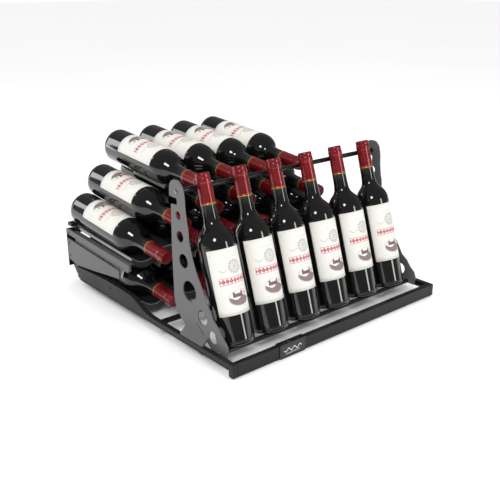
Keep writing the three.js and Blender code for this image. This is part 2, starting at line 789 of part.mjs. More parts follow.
const crossRearY = UPPER_TRAY_REAR - CROSS_BAR_WIDTH;
const crossRearTop = upperTrayUnder(crossRearY);
const crossRear = block(
  -crossRearReach,
  crossRearReach,
  crossRearY,
  crossRearY + CROSS_BAR_WIDTH,
  crossRearTop - CROSS_BAR_HEIGHT,
  crossRearTop,
);
put(frame, "frame_cross_bar_rear", crossRear, paint(0x2a2a2a, 0.5, 0.4));

// The origin is the box's bottom centre.
group.updateMatrixWorld(true);
const box = new THREE.Box3().setFromObject(group, true);
const middle = box.getCenter(new THREE.Vector3());
frame.position.set(-middle.x, -middle.y, -box.min.z);

export default group;
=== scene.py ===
"""Looks of a wine cooler's pull-out presentation shelf: bottles, rack, trays, rails and a plain studio."""

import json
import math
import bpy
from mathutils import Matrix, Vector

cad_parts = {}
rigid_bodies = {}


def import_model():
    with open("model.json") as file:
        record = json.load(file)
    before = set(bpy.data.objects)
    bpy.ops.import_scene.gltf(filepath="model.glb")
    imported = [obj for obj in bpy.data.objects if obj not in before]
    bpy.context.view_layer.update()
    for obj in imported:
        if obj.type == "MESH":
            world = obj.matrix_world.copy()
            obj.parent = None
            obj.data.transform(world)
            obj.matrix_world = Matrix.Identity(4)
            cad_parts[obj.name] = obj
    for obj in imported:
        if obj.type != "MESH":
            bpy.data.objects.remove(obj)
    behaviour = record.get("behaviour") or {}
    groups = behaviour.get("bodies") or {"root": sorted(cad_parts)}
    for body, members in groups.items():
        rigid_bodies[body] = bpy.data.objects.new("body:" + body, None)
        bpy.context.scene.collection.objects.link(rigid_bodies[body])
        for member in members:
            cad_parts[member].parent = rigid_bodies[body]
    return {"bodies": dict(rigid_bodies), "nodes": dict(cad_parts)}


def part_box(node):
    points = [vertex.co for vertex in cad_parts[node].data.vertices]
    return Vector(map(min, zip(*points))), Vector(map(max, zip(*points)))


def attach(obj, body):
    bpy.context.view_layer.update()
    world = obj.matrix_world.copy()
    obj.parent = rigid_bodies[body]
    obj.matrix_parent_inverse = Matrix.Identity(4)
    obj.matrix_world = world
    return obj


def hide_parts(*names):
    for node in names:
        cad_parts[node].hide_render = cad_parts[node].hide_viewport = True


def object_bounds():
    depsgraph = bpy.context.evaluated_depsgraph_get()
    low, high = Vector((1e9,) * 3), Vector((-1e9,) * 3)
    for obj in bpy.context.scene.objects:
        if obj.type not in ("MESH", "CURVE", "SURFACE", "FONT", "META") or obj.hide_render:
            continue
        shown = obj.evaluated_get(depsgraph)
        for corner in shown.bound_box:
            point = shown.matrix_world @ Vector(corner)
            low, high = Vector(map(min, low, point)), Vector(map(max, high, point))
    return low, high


bl_info = {
    "name": "Wine Cooler Presentation Shelf",
    "version": (1, 0, 0),
    "blender": (4, 5, 0),
    "location": "View3D > Sidebar > Wine Shelf",
    "description": "Builds the bottles, rack, trays and studio round the shelf's frame",
    "category": "Object",
}

import bmesh
import bpy
from mathutils import Matrix, Vector

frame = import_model()
CAD_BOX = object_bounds()

MM = 0.001
X_AXIS = Vector((1, 0, 0))

DISPLAY_BOTTLES = [f"display_bottle_{i}" for i in range(1, 7)]
LYING_BOTTLES = [
    f"{row}_bottle_{i}"
    for row, count in (("lower_row", 6), ("upper_row", 6), ("second_row", 5), ("top_row", 4))
    for i in range(1, count + 1)
]
DISPLAY_LEAN = math.radians(17.5)
LOWER_TILT = math.radians(3.5)
UPPER_TILT = math.radians(4.5)

# Display and lower row bottles in millimetres; the rows above are wider and longer.
BOTTLE_WIDTH = 75.5
BOTTLE_LENGTH = 333
UPPER_WIDER = 78 / BOTTLE_WIDTH
UPPER_LONGER = 343 / BOTTLE_LENGTH

# Bottle outline from the middle of the punt to the mouth: radius, height, in millimetres.
GLASS_OUTLINE = [
    (0, 13), (6, 12.7), (12, 11.2), (18, 8.2), (23.5, 4.4), (27.5, 1.4), (30.5, 0.2), (33.2, 0.05),
    (35.4, 0.8), (37, 2.6), (37.6, 5.4), (37.7, 10), (37.7, 60), (37.7, 120), (37.7, 185), (37.65, 192),
    (37.2, 199), (35.6, 206.5), (32.6, 213.8), (28.5, 220.2), (23.8, 225.5), (19.9, 230), (17.4, 235),
    (16.1, 241), (15.4, 248), (15.1, 256), (15, 263), (14.8, 272), (14.4, 285), (14, 310),
    (13.6, 326), (12, 328.4), (0, 328.6),
]
CAPSULE_OUTLINE = [
    (14.75, 271.6), (15.2, 271.8), (15.35, 272.6), (15.15, 273.6), (15, 275), (14.85, 284), (14.65, 296),
    (14.45, 306), (14.4, 311.6), (14.6, 312.6), (14.95, 313.6), (15.05, 316), (15.05, 320.4),
    (14.9, 321.8), (14.45, 322.7), (14.35, 323.6), (14.4, 327.6), (14.25, 330.2), (13.6, 331.7),
    (12.4, 332.4), (10.6, 332.5), (10.2, 332.1), (9.6, 332.2), (0, 332.3),
]

# Label: lower and upper edge above the bottle's foot, radius and thickness, in millimetres.
LABEL_LOW = 59.5
LABEL_HIGH = 187
LABEL_RADIUS = 37.85
LABEL_SHEET = 0.12
LABEL_FACING = math.radians(5)
LABEL_GREY = (0.45, 0.44, 0.42)
WREATH_GREY = (0.25, 0.24, 0.225)
PLUM = (0.09, 0.016, 0.03)

# Camera, from the middle of the fascia's front bottom edge, in metres and degrees.
CAMERA_PLACE = (-1.0291, -0.9153, 0.68595)
CAMERA_DOWN = 20.3
CAMERA_ROUND = 40.26

# Screw heads on an arm: in from its rear end and up from the ground, in millimetres.
ARM_SCREWS = ((9, 66), (9, 99), (9, 122))
ARM_SCREW_RADIUS = 3.2
ARM_SCREW_RISE = 0.28

# A screw head from the floor of its socket to its seat, in shares of its radius and rise.
SCREW_OUTLINE = (
    (0, 0.55), (0.45, 0.55), (0.45, 1), (0.62, 0.98), (0.86, 0.78), (1, 0.4), (1, 0), (0, 0),
)


# Sizes and colours a user would change


class SHELF_PG_bottles(bpy.types.PropertyGroup):
    steps: bpy.props.IntProperty(
        name="Steps", description="Facets round each bottle", default=64, min=16, max=128
    )
    label_turn: bpy.props.FloatProperty(
        name="Label Turn",
        description="Angle that the label covers round the glass",
        default=math.radians(152),
        subtype="ANGLE",
    )
    glass: bpy.props.FloatVectorProperty(
        name="Glass",
        description="Colour of the filled glass",
        default=(0.004, 0.0045, 0.004),
        subtype="COLOR",
    )
    capsule: bpy.props.FloatVectorProperty(
        name="Capsule",
        description="Colour of the foil capsule",
        default=(0.22, 0.006, 0.011),
        subtype="COLOR",
    )
    band: bpy.props.FloatVectorProperty(
        name="Band",
        description="Colour of the capsule's lower band",
        default=(0.6, 0.2, 0.035),
        subtype="COLOR",
    )
    paper: bpy.props.FloatVectorProperty(
        name="Paper",
        description="Colour of the label paper",
        default=(0.69, 0.675, 0.635),
        subtype="COLOR",
    )
    accent: bpy.props.FloatVectorProperty(
        name="Accent",
        description="Colour of the label's red ornament",
        default=(0.4, 0.008, 0.03),
        subtype="COLOR",
    )


class SHELF_PG_metal(bpy.types.PropertyGroup):
    edge: bpy.props.FloatProperty(
        name="Edge", description="Softening of the sheet metal's edges", default=0.0005, unit="LENGTH"
    )
    bracket: bpy.props.FloatVectorProperty(
        name="Bracket",
        description="Paint of the side brackets",
        default=(0.105, 0.106, 0.108),
        subtype="COLOR",
    )
    arm: bpy.props.FloatVectorProperty(
        name="Arm",
        description="Paint of the arms and frame bars",
        default=(0.085, 0.086, 0.088),
        subtype="COLOR",
    )
    rail: bpy.props.FloatVectorProperty(
        name="Rail",
        description="Paint of the side rails",
        default=(0.014, 0.014, 0.015),
        subtype="COLOR",
    )
    black: bpy.props.FloatVectorProperty(
        name="Black",
        description="Paint of the fascia and rods",
        default=(0.008, 0.008, 0.0085),
        subtype="COLOR",
    )
    plastic: bpy.props.FloatVectorProperty(
        name="Plastic",
        description="Colour of the cradle trays",
        default=(0.02, 0.02, 0.021),
        subtype="COLOR",
    )


class SHELF_PG_stage(bpy.types.PropertyGroup):
    lens: bpy.props.FloatProperty(name="Lens", description="Camera lens in millimetres", default=53.1)
    floor: bpy.props.FloatVectorProperty(
        name="Floor", description="Colour of the floor", default=(0.97, 0.97, 0.97), subtype="COLOR"
    )
    key: bpy.props.FloatProperty(
        name="Key", description="Power of the main softbox in watts", default=28.0
    )
    strip: bpy.props.FloatProperty(
        name="Strip", description="Power of the front strip in watts", default=15.0
    )
    overhead: bpy.props.FloatProperty(
        name="Overhead", description="Power of the overhead in watts", default=16.0
    )
    rear: bpy.props.FloatProperty(
        name="Rear", description="Power of the rear strip in watts", default=9.0
    )
    surround: bpy.props.FloatProperty(
        name="Surround", description="Strength of the room's light", default=1.0
    )
    dimmed: bpy.props.FloatProperty(
        name="Dimmed", description="Strength of the room as polished pieces mirror it", default=0.2
    )


# Node trees


def fresh_finish(name):
    """A material with its Principled shader; returns (material, tree, shader)."""
    finish = bpy.data.materials.new(name)
    finish.use_nodes = True
    tree = finish.node_tree
    return finish, tree, tree.nodes["Principled BSDF"]


def node(tree, kind, *values, **settings):
    """Adds a node, sets its properties, and wires or sets its inputs in order."""
    made = tree.nodes.new(kind)
    for key, value in settings.items():
        setattr(made, key, value)
    for socket, value in zip(made.inputs, values):
        if value is None:
            continue
        if isinstance(value, bpy.types.NodeSocket):
            tree.links.new(value, socket)
        else:
            socket.default_value = value
    return made


def maths(tree, operation, *values):
    return node(tree, "ShaderNodeMath", *values, operation=operation).outputs[0]


def times(tree, a, b):
    return maths(tree, "MULTIPLY", a, b)


def plus(tree, a, b):
    return maths(tree, "ADD", a, b)


def minus(tree, a, b):
    return maths(tree, "SUBTRACT", a, b)


def tint(tree, amount, below, above):
    """Mixes two colours by amount."""
    mix = tree.nodes.new("ShaderNodeMix")
    mix.data_type = "RGBA"
    for name, value in (("Factor_Float", amount), ("A_Color", below), ("B_Color", above)):
        socket = next(s for s in mix.inputs if s.identifier == name)
        if isinstance(value, bpy.types.NodeSocket):
            tree.links.new(value, socket)
        else:
            socket.default_value = (*value, 1) if name != "Factor_Float" and len(value) == 3 else value
    return next(s for s in mix.outputs if s.identifier == "Result_Color")


def place_of(tree):
    return tree.nodes.new("ShaderNodeTexCoord").outputs["Object"]


def noise(tree, place, scale, detail=2.0):
    made = tree.nodes.new("ShaderNodeTexNoise")
    tree.links.new(place, made.inputs["Vector"])
    made.inputs["Scale"].default_value = scale
    made.inputs["Detail"].default_value = detail
    return made.outputs["Fac"]


def spread(tree, value, low, high, to_low, to_high):
    made = node(tree, "ShaderNodeMapRange", value, low, high, to_low, to_high)
    return made.outputs[0]


def bump(tree, height, strength, distance):
    made = tree.nodes.new("ShaderNodeBump")
    made.inputs["Strength"].default_value = strength
    made.inputs["Distance"].default_value = distance
    tree.links.new(height, made.inputs["Height"])
    return made.outputs["Normal"]


def coat_group():
    """Shared paint effect: fine orange peel, specks of dust, and slow changes of shade and gloss."""
    if "painted coat" in bpy.data.node_groups:
        return bpy.data.node_groups["painted coat"]
    group = bpy.data.node_groups.new("painted coat", "ShaderNodeTree")
    sockets = group.interface
    sockets.new_socket("Colour", in_out="INPUT", socket_type="NodeSocketColor")
    sockets.new_socket("Gloss Low", in_out="INPUT", socket_type="NodeSocketFloat")
    sockets.new_socket("Gloss High", in_out="INPUT", socket_type="NodeSocketFloat")
    sockets.new_socket("Grain", in_out="INPUT", socket_type="NodeSocketFloat")
    sockets.new_socket("Depth", in_out="INPUT", socket_type="NodeSocketFloat")
    sockets.new_socket("Colour", in_out="OUTPUT", socket_type="NodeSocketColor")
    sockets.new_socket("Roughness", in_out="OUTPUT", socket_type="NodeSocketFloat")
    sockets.new_socket("Normal", in_out="OUTPUT", socket_type="NodeSocketVector")
    given = group.nodes.new("NodeGroupInput")
    result = group.nodes.new("NodeGroupOutput")
    place = place_of(group)
    slow = noise(group, place, 9.0, 3.0)
    dust = noise(group, place, 420.0, 1.0)
    peel = group.nodes.new("ShaderNodeTexNoise")
    group.links.new(place, peel.inputs["Vector"])
    group.links.new(given.outputs["Grain"], peel.inputs["Scale"])
    peel.inputs["Detail"].default_value = 3.0
    shade = spread(group, slow, 0.3, 0.7, 0.9, 1.1)
    speck = spread(group, dust, 0.62, 0.75, 0.0, 0.25)
    darker = node(group, "ShaderNodeVectorMath", given.outputs["Colour"], operation="SCALE")
    group.links.new(shade, darker.inputs["Scale"])
    lifted = tint(group, speck, darker.outputs[0], (0.09, 0.09, 0.09))
    group.links.new(lifted, result.inputs["Colour"])
    gloss = group.nodes.new("ShaderNodeMapRange")
    for socket, value in (("From Min", 0.3), ("From Max", 0.7)):
        gloss.inputs[socket].default_value = value
    group.links.new(slow, gloss.inputs["Value"])
    group.links.new(given.outputs["Gloss Low"], gloss.inputs["To Min"])
    group.links.new(given.outputs["Gloss High"], gloss.inputs["To Max"])
    group.links.new(gloss.outputs[0], result.inputs["Roughness"])
    relief = group.nodes.new("ShaderNodeBump")
    relief.inputs["Distance"].default_value = 0.0004
    group.links.new(peel.outputs["Fac"], relief.inputs["Height"])
    group.links.new(given.outputs["Depth"], relief.inputs["Strength"])
    group.links.new(relief.outputs["Normal"], result.inputs["Normal"])
    return group


def painted(name, colour, gloss, grain, depth, specular=0.5):
    """Powder-coated or moulded surface in one colour."""
    if name in bpy.data.materials:
        return bpy.data.materials[name]
    finish, tree, shader = fresh_finish(name)
    coat = tree.nodes.new("ShaderNodeGroup")
    coat.node_tree = coat_group()
    values = ((*colour, 1), gloss[0], gloss[1], grain, depth)
    for socket, value in zip(coat.inputs, values):
        socket.default_value = value
    tree.links.new(coat.outputs["Colour"], shader.inputs["Base Color"])
    tree.links.new(coat.outputs["Roughness"], shader.inputs["Roughness"])
    tree.links.new(coat.outputs["Normal"], shader.inputs["Normal"])
    shader.inputs["Specular IOR Level"].default_value = specular
    return finish


def filled_glass(colour):
    """Near-black glass full of red wine, a little greener where the neck is empty, with a painted highlight
    ring in lighter green just under the capsule.
    """
    if "filled glass" in bpy.data.materials:
        return bpy.data.materials["filled glass"]
    finish, tree, shader = fresh_finish("filled glass")
    uv = node(tree, "ShaderNodeUVMap", uv_map="profile").outputs[0]
    split = node(tree, "ShaderNodeSeparateXYZ", uv)
    along = split.outputs["Y"]
    empty = spread(tree, along, 0.765, 0.79, 0.0, 1.0)
    # painted highlight: the neck glass turns a lighter green in a thin ring just under the capsule
    painted_highlight_ring = spread(tree, along, 0.8, 0.815, 0.0, 1.0)
    above = tint(tree, painted_highlight_ring, (0.012, 0.016, 0.013), (0.02, 0.05, 0.022))
    body = tint(tree, empty, colour, above)
    tree.links.new(body, shader.inputs["Base Color"])
    place = place_of(tree)
    smear = noise(tree, place, 14.0, 4.0)
    haze = spread(tree, smear, 0.4, 0.75, 0.035, 0.075)
    tree.links.new(haze, shader.inputs["Roughness"])
    ripple = noise(tree, place, 22.0, 1.0)
    tree.links.new(bump(tree, ripple, 0.05, 0.002), shader.inputs["Normal"])
    shader.inputs["IOR"].default_value = 1.52
    shader.inputs["Coat Weight"].default_value = 0.35
    shader.inputs["Coat Roughness"].default_value = 0.03
    return finish


def capsule_foil(colour, band):
    """Red foil with a gold-orange lower band, a thin line above it and pleats towards the mouth."""
    if "capsule foil" in bpy.data.materials:
        return bpy.data.materials["capsule foil"]
    finish, tree, shader = fresh_finish("capsule foil")
    uv = node(tree, "ShaderNodeUVMap", uv_map="profile").outputs[0]
    split = node(tree, "ShaderNodeSeparateXYZ", uv)
    turn = split.outputs["X"]
    along = split.outputs["Y"]
    band_top = 273.4 / BOTTLE_LENGTH
    in_band = maths(tree, "LESS_THAN", along, band_top)
    line = maths(tree, "COMPARE", along, 275.4 / BOTTLE_LENGTH, 0.45 / BOTTLE_LENGTH)
    place = place_of(tree)
    slow = noise(tree, place, 40.0, 2.0)
    deeper = tuple(c * 0.72 for c in colour)
    red = tint(tree, spread(tree, slow, 0.35, 0.65, 0.0, 1.0), deeper, colour)
    lined = tint(tree, times(tree, line, 0.55), red, band)
    tree.links.new(tint(tree, in_band, lined, band), shader.inputs["Base Color"])
    fine = noise(tree, place, 700.0, 2.0)
    tree.links.new(spread(tree, fine, 0.3, 0.7, 0.2, 0.34), shader.inputs["Roughness"])
    pleat = maths(tree, "SINE", times(tree, turn, math.tau * 36))
    fade = spread(tree, along, 0.86, 0.98, 0.0, 1.0)
    pleats = times(tree, pleat, fade)
    height = plus(tree, times(tree, pleats, 0.3), fine)
    tree.links.new(bump(tree, height, 0.12, 0.0004), shader.inputs["Normal"])
    shader.inputs["Metallic"].default_value = 0.4
    shader.inputs["Coat Weight"].default_value = 0.5
    shader.inputs["Coat Roughness"].default_value = 0.12
    return finish


def wave_of(tree, value, rate, rise):
    """A sine wave along value: rate in radians a millimetre, rise in millimetres."""
    return times(tree, maths(tree, "SINE", times(tree, value, rate)), rise)


def span_of(tree, du, dv):
    """Length of (du, dv)."""
    squares = plus(tree, maths(tree, "POWER", du, 2.0), maths(tree, "POWER", dv, 2.0))
    return maths(tree, "SQRT", squares)


def inside(tree, value, centre, half):
    return maths(tree, "COMPARE", value, centre, half)


def either(tree, *masks):
    total = masks[0]
    for mask in masks[1:]:
        total = maths(tree, "MAXIMUM", total, mask)
    return total


def oval(tree, u, v, centre, radii, thickness=None):
    """1 inside an oval, or on its outline if a thickness is given. All in label millimetres."""
    du = maths(tree, "DIVIDE", minus(tree, u, centre[0]), radii[0])
    dv = maths(tree, "DIVIDE", minus(tree, v, centre[1]), radii[1])
    reach = span_of(tree, du, dv)
    if thickness is None:
        return maths(tree, "LESS_THAN", reach, 1.0)
    return inside(tree, reach, 1.0, thickness / radii[0])


def bar(tree, u, v, centre, half):
    across = inside(tree, u, centre[0], half[0])
    along = inside(tree, v, centre[1], half[1])
    return times(tree, across, along)


def label_sheet(tree, u, v, paper):
    """Clouded paper with a thin frame, corner dots and three grey rules."""
    cloud = noise(tree, place_of(tree), 30.0, 3.0)
    darker = tuple(c * 0.94 for c in paper)
    sheet = tint(tree, spread(tree, cloud, 0.3, 0.7, 0.0, 0.5), paper, darker)
    outer = bar(tree, u, v, (0, 61.5), (46.5, 58))
    inner = bar(tree, u, v, (0, 61.5), (46.1, 57.6))
    border = minus(tree, outer, inner)
    corners = [oval(tree, u, v, (x, y), (1.3, 1.3)) for x in (-43.6, 43.6) for y in (6.4, 116.6)]
    head = bar(tree, u, v, (0, 110.5), (19, 0.5))
    middle = bar(tree, u, v, (0, 52.6), (15, 0.45))
    foot = bar(tree, u, v, (0, 12.5), (30, 0.3))
    lines = either(tree, border, *corners, head, middle, foot)
    return tint(tree, times(tree, lines, 0.75), sheet, LABEL_GREY)


def label_wreath(tree, u, v):
    """An open ring of leaves round a seal, with a thin wing on each side."""
    dv = minus(tree, v, 91.0)
    turn = maths(tree, "ARCTAN2", dv, u)
    leaf = wave_of(tree, turn, 14.0, 2.2)
    ring = inside(tree, plus(tree, span_of(tree, u, dv), leaf), 11.0, 1.9)
    seal = oval(tree, u, v, (0, 91), (5.2, 5.8), 0.7)
    seal_dot = oval(tree, u, v, (0, 91), (2.4, 2.9))
    level = inside(tree, minus(tree, v, wave_of(tree, u, 0.32, 2.6)), 86.0, 0.6)
    beside = inside(tree, maths(tree, "ABSOLUTE", u), 24.0, 9.0)
    return either(tree, ring, seal, seal_dot, times(tree, level, beside))


def label_band(tree, u, v):
    """A row of lozenges between two fine rules."""
    step = maths(tree, "PINGPONG", plus(tree, u, 4.0), 4.0)
    wide = maths(tree, "DIVIDE", step, 4.2)
    off_middle = maths(tree, "ABSOLUTE", minus(tree, v, 65.5))
    tall = minus(tree, 1.0, maths(tree, "DIVIDE", off_middle, 5.4))
    lozenge = maths(tree, "LESS_THAN", wide, tall)
    hollow = maths(tree, "GREATER_THAN", wide, minus(tree, tall, 0.82))
    row = times(tree, times(tree, lozenge, hollow), inside(tree, u, 0.0, 36.0))
    rules = [bar(tree, u, v, (0, height), (36, 0.45)) for height in (59.2, 71.8)]
    return either(tree, row, *rules)


def label_picture(tree, u, v):
    """Ploughed hills, a wall with two towers and a low sun, inside an oval line."""
    picture = oval(tree, u, v, (0, 31), (23, 14.5))
    wave = wave_of(tree, u, 0.19, 3.2)
    ridge = maths(tree, "LESS_THAN", v, plus(tree, wave, 31.0))
    rows = times(tree, minus(tree, v, times(tree, wave, 0.6)), 3.1)
    furrow = spread(tree, maths(tree, "SINE", rows), -0.4, 0.4, 0.68, 1.0)
    sun = oval(tree, u, v, (13.5, 37.5), (3.4, 3.4))
    wall = bar(tree, u, v, (-4, 36), (11, 3.4))
    towers = [bar(tree, u, v, (across, 38), (2.2, 5.2)) for across in (-13, 5)]
    house = either(tree, wall, *towers)
    drawn = either(tree, times(tree, ridge, furrow), times(tree, sun, 0.55), times(tree, house, 0.95))
    frame_line = oval(tree, u, v, (0, 31), (24, 15.4), 0.5)
    return either(tree, times(tree, picture, drawn), times(tree, frame_line, 0.6))


def label_paper(paper, accent):
    """Printed paper label: thin frame, grey wreath, a red row of lozenges and a plum hill picture."""
    if "label paper" in bpy.data.materials:
        return bpy.data.materials["label paper"]
    finish, tree, shader = fresh_finish("label paper")
    uv = node(tree, "ShaderNodeUVMap", uv_map="label").outputs[0]
    split = node(tree, "ShaderNodeSeparateXYZ", uv)
    u = times(tree, split.outputs["X"], 100.0)
    v = times(tree, split.outputs["Y"], 100.0)
    wreath = label_wreath(tree, u, v)
    printed = label_sheet(tree, u, v, paper)
    printed = tint(tree, times(tree, wreath, 0.78), printed, WREATH_GREY)
    printed = tint(tree, times(tree, label_band(tree, u, v), 0.9), printed, accent)
    printed = tint(tree, times(tree, label_picture(tree, u, v), 0.95), printed, PLUM)
    tree.links.new(printed, shader.inputs["Base Color"])
    fibre = noise(tree, place_of(tree), 1500.0, 3.0)
    tree.links.new(spread(tree, fibre, 0.3, 0.7, 0.5, 0.62), shader.inputs["Roughness"])
    press = plus(tree, times(tree, wreath, 0.6), fibre)
    tree.links.new(bump(tree, press, 0.15, 0.0002), shader.inputs["Normal"])
    return finish


def holder_card():
    """Dark card with a pale wavy flourish and a line under it."""
    if "holder card" in bpy.data.materials:
        return bpy.data.materials["holder card"]
    finish, tree, shader = fresh_finish("holder card")
    low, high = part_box("label_card")
    place = node(tree, "ShaderNodeSeparateXYZ", place_of(tree))
    u = times(tree, minus(tree, place.outputs["X"], (low[0] + high[0]) / 2), 1000.0)
    v = times(tree, minus(tree, place.outputs["Z"], (low[2] + high[2]) / 2), 1000.0)
    curl = inside(tree, minus(tree, v, wave_of(tree, u, 0.42, 3.0)), 1.0, 0.95)
    stroke = times(tree, curl, inside(tree, u, 0.0, 22.5))
    sloped = inside(tree, plus(tree, v, times(tree, u, -0.05)), -6.4, 0.45)
    under = times(tree, sloped, inside(tree, u, 0.0, 18.0))
    mark = times(tree, either(tree, stroke, under), 0.85)
    colour = tint(tree, mark, (0.012, 0.012, 0.012), (0.8, 0.8, 0.8))
    tree.links.new(colour, shader.inputs["Base Color"])
    fine = noise(tree, place_of(tree), 900.0, 2.0)
    tree.links.new(spread(tree, fine, 0.3, 0.7, 0.3, 0.45), shader.inputs["Roughness"])
    return finish


def screw_steel():
    """Grained steel of the screw heads."""
    if "screw steel" in bpy.data.materials:
        return bpy.data.materials["screw steel"]
    finish, tree, shader = fresh_finish("screw steel")
    grain = noise(tree, place_of(tree), 1800.0, 2.0)
    shade = spread(tree, grain, 0.3, 0.7, 0.0, 1.0)
    colour = tint(tree, shade, (0.24, 0.24, 0.25), (0.42, 0.42, 0.43))
    tree.links.new(colour, shader.inputs["Base Color"])
    tree.links.new(spread(tree, grain, 0.3, 0.7, 0.26, 0.42), shader.inputs["Roughness"])
    shader.inputs["Metallic"].default_value = 1.0
    return finish


# Meshes


def smooth_faces(bm):
    for face in bm.faces:
        face.smooth = True


def finished(name, bm, body, finish, replaces=()):
    """Turns a bmesh into an object that rides on a body."""
    mesh = bpy.data.meshes.new(name)
    smooth_faces(bm)
    bm.to_mesh(mesh)
    bm.free()
    return placed(name, mesh, body, finish, replaces)


def placed(name, mesh, body, finish, replaces=()):
    piece = bpy.data.objects.new(name, mesh)
    bpy.context.scene.collection.objects.link(piece)
    mesh.materials.clear()
    mesh.materials.append(finish)
    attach(piece, body)
    if replaces:
        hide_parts(*replaces)
    return piece


def turned(outline, steps, scale=MM):
    """A closed shape spun round Z from (radius, height) points."""
    bm = bmesh.new()
    line = [bm.verts.new((r * scale, 0, z * scale)) for r, z in outline]
    edges = [bm.edges.new(pair) for pair in zip(line, line[1:])]
    bmesh.ops.spin(
        bm,
        geom=line + edges,
        cent=(0, 0, 0),
        axis=(0, 0, 1),
        angle=math.tau,
        steps=steps,
        use_merge=True,
    )
    bmesh.ops.remove_doubles(bm, verts=bm.verts, dist=1e-7)
    bmesh.ops.recalc_face_normals(bm, faces=bm.faces)
    return bm


def wrap_profile_uv(bm, height):
    """UV map "profile": turn round the axis, height along it."""
    layer = bm.loops.layers.uv.new("profile")
    for face in bm.faces:
        middle = face.calc_center_median()
        facing = math.atan2(middle.y, middle.x)
        for loop in face.loops:
            here = math.atan2(loop.vert.co.y, loop.vert.co.x)
            turn = (here - facing + math.pi) % math.tau - math.pi + facing
            loop[layer].uv = (turn / math.tau, loop.vert.co.z / height)


def eased(points, parts=3):
    """The same line with a smooth curve through its points."""
    line = []
    for i in range(len(points) - 1):
        before = Vector(points[max(i - 1, 0)])
        start = Vector(points[i])
        end = Vector(points[i + 1])
        after = Vector(points[min(i + 2, len(points) - 1)])
        for k in range(parts):
            t = k / parts
            spot = 0.5 * (
                2 * start
                + (end - before) * t
                + (2 * before - 5 * start + 4 * end - after) * t * t
                + (3 * start - before - 3 * end + after) * t * t * t
            )
            line.append((max(spot.x, 0.0), spot.y))
    line.append(tuple(points[-1]))
    return line


def bottle_frame(name):
    """Matrix from a bottle's own frame, axis +Z and label towards -Y, to its place on the shelf."""
    if name.startswith("display"):
        axis = Vector((0, math.sin(DISPLAY_LEAN), math.cos(DISPLAY_LEAN)))
        facing = Vector((0, -math.cos(DISPLAY_LEAN), math.sin(DISPLAY_LEAN)))
    else:
        tilt = LOWER_TILT if name.startswith("lower") else UPPER_TILT
        axis = Vector((0, -math.cos(tilt), -math.sin(tilt)))
        facing = Vector((0, -math.sin(tilt), math.cos(tilt)))
    side = (-facing).cross(axis)
    corners = [vertex.co for vertex in frame["nodes"][name].data.vertices]
    heights = [corner.dot(axis) for corner in corners]
    depths = [corner.dot(facing) for corner in corners]
    widths = [corner.dot(side) for corner in corners]
    base = (
        axis * min(heights)
        + facing * ((min(depths) + max(depths)) / 2)
        + side * ((min(widths) + max(widths)) / 2)
    )
    turn = Matrix((side, -facing, axis)).transposed().to_4x4()
    size = Matrix()
    if not name.startswith(("display", "lower")):
        size = Matrix.Diagonal((UPPER_WIDER, UPPER_WIDER, UPPER_LONGER, 1))
    return Matrix.Translation(base) @ turn @ size


def body_for(name):
    return name if name in frame["bodies"] else "shelf"


def stand_in(template, name, node_name, finish, replaces=()):
    mesh = template.copy()
    mesh.name = name
    mesh.transform(bottle_frame(node_name))
    return placed(name, mesh, body_for(node_name), finish, replaces)


def on_every_bottle(bm, kind, finish, hides_bottle=False):
    """Puts a copy of one bottle's piece on each bottle of the shelf."""
    template = bpy.data.meshes.new(kind + " template")
    bm.to_mesh(template)
    bm.free()
    for name in DISPLAY_BOTTLES + LYING_BOTTLES:
        stand_in(template, f"{kind}_{name}", name, finish, (name,) if hides_bottle else ())
    bpy.data.meshes.remove(template)


def softened(node_name, edge, finish, body="shelf", crease=28):
    """A copy of a frame piece with its sharp edges rounded over."""
    bm = bmesh.new()
    bm.from_mesh(frame["nodes"][node_name].data)
    bmesh.ops.remove_doubles(bm, verts=bm.verts, dist=1e-5)
    bmesh.ops.dissolve_limit(bm, angle_limit=math.radians(0.5), verts=bm.verts, edges=bm.edges)
    sharp = [e for e in bm.edges if len(e.link_faces) == 2 and e.calc_face_angle() > math.radians(crease)]
    bmesh.ops.bevel(
        bm, geom=sharp, offset=edge, segments=2, profile=0.5, affect="EDGES", material=-1, clamp_overlap=True
    )
    for seam in bm.edges:
        seam.smooth = len(seam.link_faces) != 2 or seam.calc_face_angle() < math.radians(40)
    piece = finished("shown_" + node_name, bm, body, finish, (node_name,))
    weighted = piece.modifiers.new("even shading", "WEIGHTED_NORMAL")
    weighted.keep_sharp = True
    return piece


def rod_along_x(name, node_name, finish, end=0.0008):
    """A round rod with chamfered ends, where the frame has its plain one."""
    low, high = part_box(node_name)
    length = high[0] - low[0]
    radius = (high[2] - low[2]) / 2
    outline = [
        (0, 0), (radius - end, 0), (radius, end), (radius, length * 0.25), (radius, length * 0.5),
        (radius, length * 0.75), (radius, length - end), (radius - end, length), (0, length),
    ]
    bm = turned(outline, 48, 1.0)
    turn = Matrix.Rotation(math.pi / 2, 4, "Y")
    place = Matrix.Translation((low[0], (low[1] + high[1]) / 2, (low[2] + high[2]) / 2))
    bmesh.ops.transform(bm, matrix=place @ turn, verts=bm.verts)
    piece = finished(name, bm, "shelf", finish, (node_name,))
    piece.modifiers.new("even shading", "WEIGHTED_NORMAL")
    return piece


